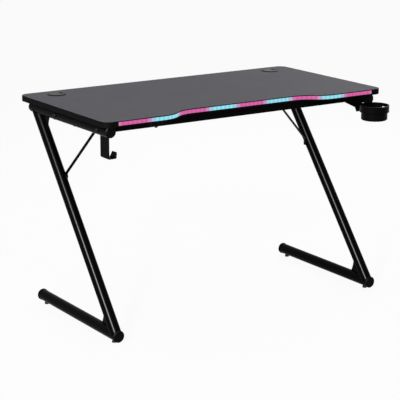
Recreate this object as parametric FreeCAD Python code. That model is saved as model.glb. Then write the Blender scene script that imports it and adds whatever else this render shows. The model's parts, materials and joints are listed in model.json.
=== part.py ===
"""Gaming desk: a waved-front board with a light strip on a pair of slanted tube frames.

Millimetres, +X along the width, +Y to the back, +Z up. Pieces are drawn with the middle of
the board at x = 0, y = 0 and the floor at z = 0, then moved back by half of the cup holder's
reach, so that the origin is on the floor at the middle of the whole footprint.
"""
import FreeCAD
import Part
import math
import os

V = FreeCAD.Vector
X_AXIS = V(1, 0, 0)
Y_AXIS = V(0, 1, 0)
Z_AXIS = V(0, 0, 1)

# Desktop board
board_w = 1130.0
board_d = 600.0
board_t = 20.0
top_z = 740.0
board_corner_r = 30.0
board_edge_chamfer = 0.8
wave_depth = 50.0
wave_outer_inset = 220.0
wave_run = 135.0

# Light strip in the front edge
led_end_inset = 50.0
led_top_gap = 2.0
channel_h = 14.0
channel_d = 8.0
channel_wall = 1.0
diffuser_t = 2.0
strip_h = 10.0
strip_t = 0.6
chip_size = 5.0
chip_t = 1.6
chip_pitch = 16.7
chip_gap = 0.1

# Tube frames
tube_d = 38.0
tube_wall = 1.5
frame_inset = 36.0
rail_len = 540.0
rail_front_inset = 25.0
foot_front_reach = 7.0
foot_clear = 8.0
leg_top_setback = 27.0
leg_foot_setback = 17.0
gusset_t = 4.0
gusset_len = 53.0
gusset_rise = 52.0
gusset_sag = 4.0
cap_plug_len = 14.0
cap_head_t = 5.0
cap_lip = 1.5
cap_chamfer = 2.5

# Crossbars and the bolts that hold them
bar_w = 20.0
bar_h = 30.0
bar_wall = 1.5
front_bar_setback = 82.0
rear_bar_setback = 370.0
bar_cope = 8.0
bar_plug_len = 24.0
bar_bolt_d = 8.0
bar_bolt_bite = 16.0
bolt_slack = 0.05
head_d_share = 1.75
head_t_share = 0.5

# Diagonal braces
brace_w = 14.0
brace_t = 3.0
brace_run = 196.0
brace_tab = 24.0
brace_bend_r = 4.0
brace_bolt_d = 6.0
brace_bolt_bite = 12.0

# Board bolts and their threaded inserts
board_bolt_d = 6.0
board_bolt_y_shares = (0.2, 0.44, 0.7)
low_head_t_share = 0.25
insert_d = 9.0
insert_len = 12.0

# Levelling feet
leveller_inset = 32.0
leveller_pad_d = 16.0
leveller_pad_h = 5.0
leveller_pad_chamfer = 1.0
leveller_collar_d = 11.0
leveller_stud_d = 6.0
leveller_stud_len = 30.0
nut_d = 11.0
nut_flange_d = 14.0
nut_flange_t = 2.0
nut_len = 15.0
seat_gap = 0.1
run_gap = 0.05

# Cable grommets
grommet_side_inset = 109.0
grommet_rear_inset = 72.0
grommet_hole_d = 58.0
grommet_flange_d = 66.0
grommet_flange_t = 2.5
grommet_wall = 1.8
grommet_ledge = 2.5
grommet_ledge_t = 1.6
grommet_depth = 17.0
grommet_fit = 0.2
cap_gap = 0.3
cap_disc_t = 3.0
cap_skirt_h = 6.0
slot_w = 18.0
slot_deep = 15.0
slot_angle = 14.0

# Cup holder
cup_side_inset = 87.0
cup_edge_gap = 11.0
cup_rim_r = 51.5
cup_base_r = 46.0
cup_wall = 2.6
cup_top_drop = 21.0
cup_band_h = 24.0
cup_h = 52.0
cup_floor_t = 3.0
cup_rim_h = 12.0
cup_base_chamfer = 3.0
cup_window_h = 8.0
cup_window_w = 32.0
bracket_t = 3.0
bracket_left_reach = 82.0
bracket_right_reach = 37.0
flange_right_reach = 20.0
bracket_screw_share = 0.25
bracket_flange_d = 44.0
bracket_setback = 8.0
bracket_side_h = 9.0
bracket_left_h = 12.0
knee_reach = 28.0
knee_drop = 38.0
web_left_reach = 21.0
web_right_reach = 24.0
web_drop = 54.0
pivot_out = 9.0
knuckle_r = 7.0
knuckle_h = 16.0
knuckle_gap = 0.3
tab_t = 3.6
pivot_d = 6.0
pivot_head_d = 9.0
pivot_head_t = 2.0
knuckle_top_drop = 7.0
cup_neck_w = 12.0
wood_screw_d = 4.0
wood_screw_len = 14.0

# Headphone hook
hook_t = 2.5
hook_w = 55.0
hook_side_inset = 75.0
hook_bar_gap = 54.0
hook_flange_l = 30.0
hook_drop = 127.0
hook_bend_r = 3.0
hook_tongue_low_w = 40.0
hook_tongue_tip_w = 26.0
hook_low_drop = 130.0
hook_reach = 36.0
hook_lean = 5.0
hook_tip_drop = 110.0
hook_tongue_r = 4.0
hook_tip_r = 4.0
hook_overlap = 30.0
hook_screw_y = 15.0

# Light switch box under the board
box_side_inset = 211.0
box_front_setback = 38.0
box_l = 56.0
box_w = 30.0
box_h = 15.0
box_wall = 1.5
box_round = 3.0
base_t = 2.0
bezel_d = 16.0
bezel_h = 3.0
button_d = 10.0
button_gap = 0.3
button_out = 5.0
button_flange_d = 13.5
button_flange_t = 1.5
button_chamfer = 1.0
button_travel = 1.0
button_stop_gap = 0.3
pcb_t = 1.6
pcb_gap = 0.5
switch_size = 6.0
switch_plunger_d = 3.0
switch_plunger_h = 0.9
socket_len = 12.0
socket_w = 10.0
socket_bore_d = 6.4
socket_bore_deep = 9.0
socket_pin_d = 2.0

overrun = 5.0

# Places worked out from the sizes
front_y = -board_d / 2
rear_y = board_d / 2
under_z = top_z - board_t
tube_r = tube_d / 2
half_w = board_w / 2
wave_outer_x = half_w - wave_outer_inset
wave_inner_x = wave_outer_x - wave_run
led_half_len = half_w - led_end_inset
frame_x = half_w - frame_inset
rail_z = under_z - tube_r
rail_front_y = front_y + rail_front_inset
rail_rear_y = rail_front_y + rail_len
foot_z = foot_clear + tube_r
foot_front_y = front_y - foot_front_reach
foot_rear_y = foot_front_y + rail_len
leg_top = V(0, rail_rear_y - leg_top_setback, rail_z)
leg_low = V(0, foot_front_y + leg_foot_setback, foot_z)
leg_slope = (leg_top.y - leg_low.y) / (leg_top.z - leg_low.z)
front_bar_y = front_y + front_bar_setback
rear_bar_y = front_y + rear_bar_setback
brace_low_z = leg_low.z + (rear_bar_y - leg_low.y) / leg_slope
brace_top_x = frame_x - brace_run
grommet_x = half_w - grommet_side_inset
cup_x = half_w - cup_side_inset
bracket_left_x = cup_x - bracket_left_reach
bracket_right_x = cup_x + bracket_right_reach
bracket_flange_right_x = cup_x + flange_right_reach
web_low_left_x = cup_x - web_left_reach
web_low_right_x = cup_x + web_right_reach
hook_x = half_w - hook_side_inset
hook_y = front_bar_y + hook_bar_gap
hook_bottom_z = under_z - hook_drop
hook_low_z = under_z - hook_low_drop
hook_tip_z = under_z - hook_tip_drop
box_x = box_side_inset - half_w
cup_y = front_y - cup_edge_gap - cup_rim_r
cup_rim_z = under_z - cup_top_drop
cup_reach = front_y - (cup_y - cup_rim_r)
web_front_y = front_y + bracket_setback
pivot_y = web_front_y - pivot_out
knuckle_top_z = cup_rim_z - knuckle_top_drop
box_y = front_y + box_front_setback
ORIGIN_SHIFT = V(0, cup_reach / 2, 0)
SIDES = (("left", -1), ("right", 1))


def box(low, size):
    return Part.makeBox(size.x, size.y, size.z, low)


def rod(start, end, radius):
    return Part.makeCylinder(radius, (end - start).Length, start, end - start)


def tube(start, end, radius, wall):
    return rod(start, end, radius).cut(rod(start, end, radius - wall))


def plate(points, thickness):
    """A flat plate from an outline, centred on the outline's plane."""
    face = Part.Face(Part.makePolygon(points + points[:1]))
    normal = face.normalAt(0, 0)
    face.translate(normal * (-thickness / 2))
    return face.extrude(normal * thickness)


def fillet_if(shape, radius, test):
    edges = [e for e in shape.Edges if test(e)]
    return shape.makeFillet(radius, edges)


def along(edge, axis):
    """True for a straight edge that runs along an axis."""
    if not isinstance(edge.Curve, Part.Line):
        return False
    return edge.Curve.Direction.cross(axis).Length < Part.Precision.confusion()


def at(edge, point):
    """True for an edge whose middle is on the line through a point, along the edge."""
    return edge.distToShape(Part.Vertex(point))[0] < Part.Precision.approximation()


def bent_strip(points, thickness, width, bend_r):
    """A strip bent along a line of points in the XZ plane, centred on their y."""
    sides = []
    for sign in (1, -1):
        row = []
        for i, p in enumerate(points):
            before = (p - points[i - 1]).normalize() if i else None
            after = (points[i + 1] - p).normalize() if i + 1 < len(points) else None
            n1 = Y_AXIS.cross(before or after)
            n2 = Y_AXIS.cross(after or before)
            mitre = (n1 + n2).normalize()
            row.append(p + mitre * (sign * thickness / 2 / mitre.dot(n1)))
        sides.append(row)
    outline = sides[0] + sides[1][::-1]
    shape = plate(outline, width)
    half = Y_AXIS * (width / 2)
    for i in range(1, len(points) - 1):
        turn = (points[i] - points[i - 1]).cross(points[i + 1] - points[i]).dot(Y_AXIS)
        inner, outer = (0, 1) if turn > 0 else (1, 0)
        for side, radius in ((inner, bend_r), (outer, bend_r + thickness)):
            corner = sides[side][i]
            shape = fillet_if(shape, radius, lambda e: along(e, Y_AXIS) and at(e, corner + half))
    return shape


def head_bolt(seat, axis, diameter, length, t_share=head_t_share):
    """A cap-head bolt: its head sits at the seat and its shank runs along the axis."""
    head_r = diameter * head_d_share / 2
    head_t = diameter * t_share
    outline = [
        V(0, 0, -head_t),
        V(head_r, 0, -head_t),
        V(head_r, 0, 0),
        V(diameter / 2, 0, 0),
        V(diameter / 2, 0, length),
        V(0, 0, length),
    ]
    bolt = Part.Face(Part.makePolygon(outline + outline[:1])).revolve(V(0, 0, 0), Z_AXIS, 360)
    bolt.Placement = FreeCAD.Placement(seat, FreeCAD.Rotation(Z_AXIS, axis))
    return bolt


def front_curve(offset, half_len):
    """The waved front line, a set distance behind the edge, as straight runs and tangent arcs."""
    run = wave_outer_x - wave_inner_x
    radius = (run**2 + wave_depth**2) / (4 * wave_depth)
    angle = math.asin(run / 2 / radius)
    straight = front_y + offset
    recess = front_y + wave_depth + offset

    def half(sign):
        bulge_r = radius - offset
        hollow_r = radius + offset
        bulge = V(wave_outer_x, front_y + radius, 0)
        hollow = V(wave_inner_x, front_y + wave_depth - radius, 0)

        def on_bulge(a):
            return V(sign * (bulge.x - bulge_r * math.sin(a)), bulge.y - bulge_r * math.cos(a), 0)

        def on_hollow(a):
            return V(sign * (hollow.x + hollow_r * math.sin(a)), hollow.y + hollow_r * math.cos(a), 0)

        end = V(sign * half_len, straight, 0)
        return [
            Part.LineSegment(end, on_bulge(0)).toShape(),
            Part.Arc(on_bulge(0), on_bulge(angle / 2), on_bulge(angle)).toShape(),
            Part.Arc(on_hollow(angle), on_hollow(angle / 2), on_hollow(0)).toShape(),
        ]

    left = half(-1)
    right = half(1)[::-1]
    middle = Part.LineSegment(V(-wave_inner_x, recess, 0), V(wave_inner_x, recess, 0)).toShape()
    return left + [middle] + right


def front_band(near, far, low_z, height, half_len=led_half_len):
    """A strip that follows the front line, between two distances behind the edge."""
    front = front_curve(near, half_len)
    back = front_curve(far, half_len)
    ends = [
        Part.LineSegment(V(s * half_len, front_y + near, 0), V(s * half_len, front_y + far, 0)).toShape()
        for s in (-1, 1)
    ]
    wire = Part.Wire(Part.__sortEdges__(front + back + ends))
    face = Part.Face(wire)
    face.translate(V(0, 0, low_z))
    return face.extrude(V(0, 0, height))


def board_bolt_points():
    return [
        V(sign * frame_x, rail_front_y + share * rail_len, 0)
        for _, sign in SIDES
        for share in board_bolt_y_shares
    ]


def bracket_screw_points():
    y = web_front_y + bracket_t + bracket_flange_d / 2
    step = (bracket_flange_right_x - bracket_left_x) * bracket_screw_share
    return [V(bracket_left_x + step, y, 0), V(bracket_flange_right_x - step, y, 0)]


def hook_screw_points():
    x = -hook_x + hook_flange_l / 2
    return [V(x, hook_y + s * hook_screw_y, 0) for s in (-1, 1)]


def grommet_centre(sign):
    return V(sign * grommet_x, rear_y - grommet_rear_inset, 0)


def desktop_board():
    flat_half = half_w - board_corner_r
    front = front_curve(0, flat_half)
    turn = board_corner_r * math.sqrt(0.5)
    sides = []
    for s in (-1, 1):
        fc = V(s * flat_half, front_y + board_corner_r, 0)
        rc = V(s * flat_half, rear_y - board_corner_r, 0)
        sides += [
            Part.Arc(V(fc.x, front_y, 0), fc + V(s * turn, -turn, 0), V(s * half_w, fc.y, 0)).toShape(),
            Part.LineSegment(V(s * half_w, fc.y, 0), V(s * half_w, rc.y, 0)).toShape(),
            Part.Arc(V(s * half_w, rc.y, 0), rc + V(s * turn, turn, 0), V(rc.x, rear_y, 0)).toShape(),
        ]
    back = Part.LineSegment(V(-flat_half, rear_y, 0), V(flat_half, rear_y, 0)).toShape()
    face = Part.Face(Part.Wire(Part.__sortEdges__(front + sides + [back])))
    face.translate(V(0, 0, under_z))
    board = face.extrude(V(0, 0, board_t))
    level = [e for e in board.Edges if abs(e.BoundBox.ZLength) < Part.Precision.approximation()]
    board = board.makeChamfer(board_edge_chamfer, level)
    groove = front_band(-overrun, channel_d, top_z - led_top_gap - channel_h, channel_h)
    cuts = [groove]
    for _, sign in SIDES:
        c = grommet_centre(sign) + V(0, 0, under_z - overrun)
        cuts.append(Part.makeCylinder(grommet_hole_d / 2, board_t + 2 * overrun, c))
    for p in board_bolt_points():
        cuts.append(Part.makeCylinder(insert_d / 2, insert_len, p + V(0, 0, under_z)))
    for p in bracket_screw_points() + hook_screw_points():
        cuts.append(Part.makeCylinder(wood_screw_d / 2 + bolt_slack, wood_screw_len, p + V(0, 0, under_z)))
    return board.cut(cuts)


def led_channel():
    low = top_z - led_top_gap - channel_h
    outer = front_band(0, channel_d, low, channel_h)
    inside = front_band(-overrun, channel_d - channel_wall, low + channel_wall, channel_h - 2 * channel_wall)
    return outer.cut(inside)


def led_diffuser():
    low = top_z - led_top_gap - channel_h + channel_wall
    return front_band(0, diffuser_t, low, channel_h - 2 * channel_wall)


def strip_offset():
    return channel_d - channel_wall - strip_t


def led_strip():
    low = top_z - led_top_gap - channel_h / 2 - strip_h / 2
    return front_band(strip_offset(), strip_offset() + strip_t, low, strip_h)


def led_chips():
    """Square light packages at an even pitch along the strip's front face."""
    line = Part.Wire(Part.__sortEdges__(front_curve(strip_offset() - chip_gap, led_half_len)))
    count = int(line.Length // chip_pitch)
    start = (line.Length - (count - 1) * chip_pitch) / 2
    low = top_z - led_top_gap - channel_h / 2 - chip_size / 2
    chips = []
    edges = line.OrderedEdges
    for i in range(count):
        s = start + i * chip_pitch
        for edge in edges:
            if s <= edge.Length:
                break
            s -= edge.Length
        if edge.Orientation == "Reversed":
            s = edge.Length - s
        u = edge.getParameterByLength(s)
        point = edge.valueAt(u)
        tangent = edge.tangentAt(u)
        turn = math.degrees(math.atan(tangent.y / tangent.x))
        chip = box(V(-chip_size / 2, -chip_t, low), V(chip_size, chip_t, chip_size))
        chip.rotate(V(0, 0, 0), Z_AXIS, turn)
        chip.translate(V(point.x, point.y, 0))
        chips.append(chip)
    return Part.makeCompound(chips)


def top_rail(sign):
    a = V(sign * frame_x, rail_front_y + cap_head_t, rail_z)
    b = V(sign * frame_x, rail_rear_y - cap_head_t, rail_z)
    rail = tube(a, b, tube_r, tube_wall)
    holes = []
    for y in (front_bar_y, rear_bar_y):
        start = V(sign * (frame_x - tube_d), y, rail_z)
        holes.append(rod(start, start + V(sign * 2 * tube_d, 0, 0), bar_bolt_d / 2 + bolt_slack))
    for p in board_bolt_points():
        if p.x * sign > 0:
            low = p + V(0, 0, rail_z - tube_d)
            holes.append(rod(low, low + V(0, 0, 2 * tube_d), board_bolt_d / 2 + bolt_slack))
    return rail.cut(holes)


def foot_rail(sign):
    a = V(sign * frame_x, foot_front_y + cap_head_t, foot_z)
    b = V(sign * frame_x, foot_rear_y - cap_head_t, foot_z)
    foot = tube(a, b, tube_r, tube_wall)
    holes = []
    for p in leveller_points(sign):
        holes.append(rod(p, p + V(0, 0, foot_z), nut_d / 2))
    return foot.cut(holes)


def leg(sign):
    side = V(sign * frame_x, 0, 0)
    shape = tube(leg_low + side, leg_top + side, tube_r, tube_wall)
    ends = []
    for z, front in ((rail_z, rail_front_y), (foot_z, foot_front_y)):
        a = V(sign * frame_x, front - tube_d, z)
        ends.append(rod(a, a + Y_AXIS * (rail_len + 2 * tube_d), tube_r))
    shape = shape.cut(ends)
    hole = brace_foot(sign)
    bore = rod(hole, hole + X_AXIS * (sign * tube_r), brace_bolt_d / 2 + bolt_slack)
    return shape.cut(bore)


def gusset(sign, upper):
    """A plate in the sharp corner between the leg and a rail, with a hollowed free edge."""
    turn = 1 if upper else -1
    corner = leg_top if upper else leg_low
    along_leg = V(0, leg_slope, 1).normalize()
    edge_y = tube_r / along_leg.z
    seam = corner.y - turn * (tube_r * leg_slope + edge_y)
    a = V(0, corner.y, corner.z)
    b = V(0, seam - turn * gusset_len, corner.z)
    c = V(0, seam - turn * gusset_len, corner.z - turn * tube_r)
    low_z = corner.z - turn * (tube_r + gusset_rise)
    d = V(0, corner.y - turn * ((tube_r + gusset_rise) * leg_slope + edge_y), low_z)
    e = d + V(0, turn * edge_y, 0)
    chord_mid = (c + d) / 2
    inward = (V(0, seam, c.z) - chord_mid).normalize()
    mid = chord_mid + inward * gusset_sag
    wire = Part.Wire(
        [
            Part.LineSegment(a, b).toShape(),
            Part.LineSegment(b, c).toShape(),
            Part.Arc(c, mid, d).toShape(),
            Part.LineSegment(d, e).toShape(),
            Part.LineSegment(e, a).toShape(),
        ]
    )
    face = Part.Face(wire)
    face.translate(V(sign * frame_x - gusset_t / 2, 0, 0))
    shape = face.extrude(V(gusset_t, 0, 0))
    side = V(sign * frame_x, 0, 0)
    rail_a = V(sign * frame_x, corner.y - rail_len, corner.z)
    rail = rod(rail_a, rail_a + Y_AXIS * (2 * rail_len), tube_r)
    return shape.cut([rail, rod(leg_low + side, leg_top + side, tube_r)])


def tube_cap(sign, tube_end_y, z, way, lip):
    """A push-in cap for a tube end: a chamfered head and a plug."""
    head_r = tube_r + lip
    plug_r = tube_r - tube_wall - bolt_slack
    outline = [
        V(0, 0, -cap_plug_len),
        V(plug_r, 0, -cap_plug_len),
        V(plug_r, 0, 0),
        V(head_r, 0, 0),
        V(head_r, 0, cap_head_t - cap_chamfer),
        V(head_r - cap_chamfer, 0, cap_head_t),
        V(0, 0, cap_head_t),
    ]
    cap = Part.Face(Part.makePolygon(outline + outline[:1])).revolve(V(0, 0, 0), Z_AXIS, 360)
    seat = V(sign * frame_x, tube_end_y - way * cap_head_t, z)
    cap.Placement = FreeCAD.Placement(seat, FreeCAD.Rotation(Z_AXIS, V(0, way, 0)))
    return cap


def crossbar(y):
    """A box-section bar with ends shaped to the round rails and a nut block in each end."""
    half_len = frame_x - tube_r + bar_cope
    low = V(-half_len, y - bar_w / 2, under_z - bar_h)
    bar = box(low, V(2 * half_len, bar_w, bar_h))
    inner = low + V(0, bar_wall, bar_wall)
    core_len = 2 * (frame_x - tube_r - bar_plug_len)
    core = box(V(-core_len / 2, inner.y, inner.z), V(core_len, bar_w - 2 * bar_wall, bar_h - 2 * bar_wall))
    bar = bar.cut(core)
    cuts = []
    for _, sign in SIDES:
        a = V(sign * frame_x, rail_front_y - tube_d, rail_z)
        cuts.append(rod(a, a + Y_AXIS * (rail_len + 2 * tube_d), tube_r))
        start = V(sign * frame_x, y, rail_z)
        bore_len = tube_r + bar_bolt_bite
        cuts.append(rod(start, start - X_AXIS * (sign * bore_len), bar_bolt_d / 2 + bolt_slack))
        if y == rear_bar_y:
            top = brace_head(sign)
            cuts.append(rod(top, top + Z_AXIS * brace_bolt_bite, brace_bolt_d / 2 + bolt_slack))
    return bar.cut(cuts)


def crossbar_bolts():
    bolts = []
    for y in (front_bar_y, rear_bar_y):
        for _, sign in SIDES:
            seat = V(sign * (frame_x + tube_r), y, rail_z)
            bolts.append(head_bolt(seat, V(-sign, 0, 0), bar_bolt_d, tube_d + bar_bolt_bite))
    return Part.makeCompound(bolts)


def brace_foot(sign):
    """Where a brace meets the inner side of its leg."""
    return V(sign * (frame_x - tube_r), rear_bar_y, brace_low_z)


def brace_head(sign):
    """Where a brace meets the underside of the rear crossbar."""
    return V(sign * brace_top_x, rear_bar_y, under_z - bar_h)


def brace(sign):
    foot = brace_foot(sign) - V(sign * brace_t / 2, 0, 0)
    head = brace_head(sign) - V(0, 0, brace_t / 2)
    points = [
        foot - V(0, 0, brace_tab / 2),
        foot + V(0, 0, brace_tab / 2),
        head + V(sign * brace_tab / 2, 0, 0),
        head - V(sign * brace_tab / 2, 0, 0),
    ]
    strip = bent_strip(points, brace_t, brace_w, brace_bend_r)
    hole_r = brace_bolt_d / 2 + bolt_slack
    low_hole = rod(foot - X_AXIS * (sign * overrun), foot + X_AXIS * (sign * overrun), hole_r)
    top_hole = rod(head - Z_AXIS * overrun, head + Z_AXIS * overrun, hole_r)
    return strip.cut([low_hole, top_hole])


def brace_bolts():
    bolts = []
    for _, sign in SIDES:
        foot = brace_foot(sign) - V(sign * brace_t, 0, 0)
        head = brace_head(sign) - V(0, 0, brace_t)
        bolts.append(head_bolt(foot, V(sign, 0, 0), brace_bolt_d, brace_bolt_bite))
        bolts.append(head_bolt(head, Z_AXIS, brace_bolt_d, brace_bolt_bite))
    return Part.makeCompound(bolts)


def board_bolts():
    """Low-headed bolts up through the top rails into the board's inserts."""
    length = tube_d + insert_len
    seats = [p + V(0, 0, rail_z - tube_r) for p in board_bolt_points()]
    bolts = [head_bolt(s, Z_AXIS, board_bolt_d, length, low_head_t_share) for s in seats]
    return Part.makeCompound(bolts)


def board_inserts():
    wall = (insert_d - board_bolt_d) / 2 - bolt_slack
    inserts = []
    for p in board_bolt_points():
        low = p + V(0, 0, under_z)
        inserts.append(tube(low, low + V(0, 0, insert_len), insert_d / 2, wall))
    return Part.makeCompound(inserts)


def leveller_points(sign):
    x = sign * frame_x
    return [V(x, foot_front_y + leveller_inset, 0), V(x, foot_rear_y - leveller_inset, 0)]


def leveller(point):
    """A foot that screws up and down: a round pad, a collar that stops it and a stud."""
    pad = Part.makeCylinder(leveller_pad_d / 2, leveller_pad_h, point)
    rims = sorted(pad.Edges, key=lambda e: e.CenterOfMass.z)
    pad = pad.makeChamfer(leveller_pad_chamfer, rims[-1:])
    collar_top = foot_clear - nut_flange_t - seat_gap
    collar = Part.makeCylinder(leveller_collar_d / 2, collar_top, point)
    stud = Part.makeCylinder(leveller_stud_d / 2, leveller_stud_len, point)
    return pad.fuse([collar, stud]).removeSplitter()


def leveller_nuts():
    nuts = []
    for _, sign in SIDES:
        for p in leveller_points(sign):
            low = p + V(0, 0, foot_clear - nut_flange_t)
            flange = Part.makeCylinder(nut_flange_d / 2, nut_flange_t, low)
            body = Part.makeCylinder(nut_d / 2, nut_len, low)
            bore = Part.makeCylinder(leveller_stud_d / 2 + run_gap, nut_len, low)
            nuts.append(flange.fuse(body).removeSplitter().cut(bore))
    return Part.makeCompound(nuts)


def grommet_sleeve(sign):
    """A flanged sleeve with an inner ledge that carries the cap."""
    r = grommet_hole_d / 2 - grommet_fit
    bore = r - grommet_wall
    flange_z = top_z + grommet_flange_t
    ledge_z = flange_z - cap_disc_t
    outline = [
        V(bore, 0, flange_z),
        V(grommet_flange_d / 2, 0, top_z),
        V(r, 0, top_z),
        V(r, 0, top_z - grommet_depth),
        V(bore, 0, top_z - grommet_depth),
        V(bore, 0, ledge_z - grommet_ledge_t),
        V(bore - grommet_ledge, 0, ledge_z - grommet_ledge_t),
        V(bore - grommet_ledge, 0, ledge_z),
        V(bore, 0, ledge_z),
    ]
    shape = Part.Face(Part.makePolygon(outline + outline[:1])).revolve(V(0, 0, 0), Z_AXIS, 360)
    shape.translate(grommet_centre(sign))
    return shape


def grommet_cap(sign):
    """A disc that turns in the sleeve, with a skirt and a slot for cables at its rim."""
    centre = grommet_centre(sign)
    bore = grommet_hole_d / 2 - grommet_fit - grommet_wall
    disc_r = bore - cap_gap
    skirt_r = bore - grommet_ledge - cap_gap
    base = top_z + grommet_flange_t - cap_disc_t
    disc = Part.makeCylinder(disc_r, cap_disc_t, centre + V(0, 0, base))
    low = centre + V(0, 0, base - cap_skirt_h)
    skirt = tube(low, low + V(0, 0, cap_skirt_h), skirt_r, grommet_wall)
    cap = disc.fuse(skirt).removeSplitter()
    slot_low = base - cap_skirt_h - overrun
    slot_h = cap_skirt_h + cap_disc_t + 2 * overrun
    floor_x = disc_r - slot_deep + slot_w / 2
    slot = box(V(floor_x, -slot_w / 2, slot_low), V(disc_r, slot_w, slot_h))
    slot = slot.fuse(Part.makeCylinder(slot_w / 2, slot_h, V(floor_x, 0, slot_low)))
    slot.rotate(V(0, 0, 0), Z_AXIS, slot_angle)
    slot.translate(centre)
    return cap.cut(slot)


def cup_basket():
    """A stepped open cup with a window in its right-hand wall and a hinge knuckle."""
    step_z = cup_rim_z - cup_band_h
    low_z = cup_rim_z - cup_h
    outline = [
        V(cup_rim_r, 0, cup_rim_z),
        V(cup_rim_r, 0, step_z),
        V(cup_base_r, 0, step_z - cup_wall),
        V(cup_base_r, 0, low_z),
        V(0, 0, low_z),
        V(0, 0, low_z + cup_floor_t),
        V(cup_base_r - cup_wall, 0, low_z + cup_floor_t),
        V(cup_base_r - cup_wall, 0, step_z),
        V(cup_rim_r - cup_wall, 0, step_z + cup_wall),
        V(cup_rim_r - cup_wall, 0, cup_rim_z),
    ]
    cup = Part.Face(Part.makePolygon(outline + outline[:1])).revolve(V(0, 0, 0), Z_AXIS, 360)
    foot = [e for e in cup.Edges if isinstance(e.Curve, Part.Circle)]
    foot = [e for e in foot if at_ring(e, cup_base_r, low_z)]
    cup = cup.makeChamfer(cup_base_chamfer, foot)
    window_z = cup_rim_z - cup_rim_h - cup_window_h
    window = box(V(0, -cup_window_w / 2, window_z), V(cup_rim_r + overrun, cup_window_w, cup_window_h))
    cup = cup.cut(window)
    cup.translate(V(cup_x, cup_y, 0))
    pivot = V(cup_x, pivot_y, knuckle_top_z - knuckle_h)
    knuckle = Part.makeCylinder(knuckle_r, knuckle_h, pivot)
    neck = box(V(cup_x - cup_neck_w / 2, cup_y, pivot.z), V(cup_neck_w, pivot_y - cup_y, knuckle_h))
    inside = Part.makeCylinder(cup_rim_r - cup_wall, knuckle_h, V(cup_x, cup_y, pivot.z))
    lug = neck.fuse(knuckle).removeSplitter().cut(inside)
    bore = Part.makeCylinder(pivot_d / 2 + run_gap, knuckle_h, pivot)
    return cup.fuse(lug).removeSplitter().cut(bore)


def at_ring(edge, radius, z):
    near = Part.Precision.approximation()
    return abs(edge.Curve.Radius - radius) < near and abs(edge.Curve.Center.z - z) < near


def cup_bracket():
    """A bent plate under the board's front edge with two tabs that hold the cup's pivot."""
    low_z = under_z - web_drop
    side_z = under_z - bracket_side_h
    mid_y = web_front_y + bracket_t / 2
    web = plate(
        [
            V(bracket_left_x, mid_y, under_z),
            V(bracket_right_x, mid_y, under_z),
            V(bracket_right_x, mid_y, side_z),
            V(web_low_right_x, mid_y, low_z),
            V(web_low_left_x, mid_y, low_z),
            V(cup_x - knee_reach, mid_y, under_z - knee_drop),
            V(bracket_left_x, mid_y, under_z - bracket_left_h),
        ],
        bracket_t,
    )
    flange_size = V(bracket_flange_right_x - bracket_left_x, bracket_flange_d + bracket_t, bracket_t)
    flange = box(V(bracket_left_x, web_front_y, under_z - bracket_t), flange_size)
    pieces = [flange]
    tops = (knuckle_top_z + knuckle_gap, knuckle_top_z - knuckle_h - knuckle_gap - tab_t)
    for z in tops:
        pieces.append(Part.makeCylinder(knuckle_r, tab_t, V(cup_x, pivot_y, z)))
        tab_size = V(2 * knuckle_r, pivot_out + bracket_t / 2, tab_t)
        pieces.append(box(V(cup_x - knuckle_r, pivot_y, z), tab_size))
    shape = web.fuse(pieces).removeSplitter()
    cuts = [Part.makeCylinder(pivot_d / 2 + bolt_slack, web_drop, V(cup_x, pivot_y, low_z))]
    for p in bracket_screw_points():
        low = p + V(0, 0, under_z - bracket_t)
        cuts.append(Part.makeCylinder(wood_screw_d / 2 + bolt_slack, bracket_t, low))
    return shape.cut(cuts)


def bracket_screws():
    seats = [p + V(0, 0, under_z - bracket_t) for p in bracket_screw_points()]
    return Part.makeCompound([head_bolt(s, Z_AXIS, wood_screw_d, wood_screw_len) for s in seats])


def pivot_pin():
    top = knuckle_top_z + knuckle_gap + tab_t
    low = knuckle_top_z - knuckle_h - knuckle_gap - tab_t
    axis = V(cup_x, pivot_y, 0)
    shank = Part.makeCylinder(pivot_d / 2, top - low, axis + V(0, 0, low))
    heads = []
    for z, way in ((top, 1), (low, -1)):
        head = Part.makeCylinder(pivot_head_d / 2, pivot_head_t, axis + V(0, 0, z), V(0, 0, way))
        rims = sorted(head.Edges, key=lambda e: e.CenterOfMass.z * way)
        heads.append(head.makeChamfer(pivot_head_t / 2, rims[-1:]))
    return shank.fuse(heads).removeSplitter()


def headphone_hook():
    """A bent plate screwed under the board, with a tapered tongue curled up into a hook."""
    top = under_z - hook_t / 2
    plate_points = [
        V(-hook_x + hook_flange_l, hook_y, top),
        V(-hook_x, hook_y, top),
        V(-hook_x, hook_y, hook_bottom_z),
    ]
    body = bent_strip(plate_points, hook_t, hook_w, hook_bend_r)
    corner_z = hook_bottom_z + hook_t
    body = fillet_if(body, hook_tip_r, lambda e: along(e, X_AXIS) and e.BoundBox.ZMax < corner_z)
    low = hook_low_z + hook_t / 2
    tongue_points = [
        V(-hook_x, hook_y, hook_bottom_z + hook_overlap),
        V(-hook_x, hook_y, low),
        V(-hook_x + hook_reach - hook_lean, hook_y, low),
        V(-hook_x + hook_reach, hook_y, hook_tip_z),
    ]
    tongue = bent_strip(tongue_points, hook_t, hook_tongue_low_w, hook_tongue_r).common(tongue_taper())
    tip_z = hook_tip_z - hook_t
    ends = [e for e in tongue.Edges if e.BoundBox.ZMin > tip_z and e.BoundBox.XMin > -hook_x + hook_t]
    ends = [e for e in ends if e.BoundBox.YLength < hook_t]
    tongue = tongue.makeFillet(hook_tip_r, ends)
    holes = []
    for p in hook_screw_points():
        holes.append(Part.makeCylinder(wood_screw_d / 2 + bolt_slack, hook_t, p + V(0, 0, under_z - hook_t)))
    return body.fuse(tongue).removeSplitter().cut(holes)


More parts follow.
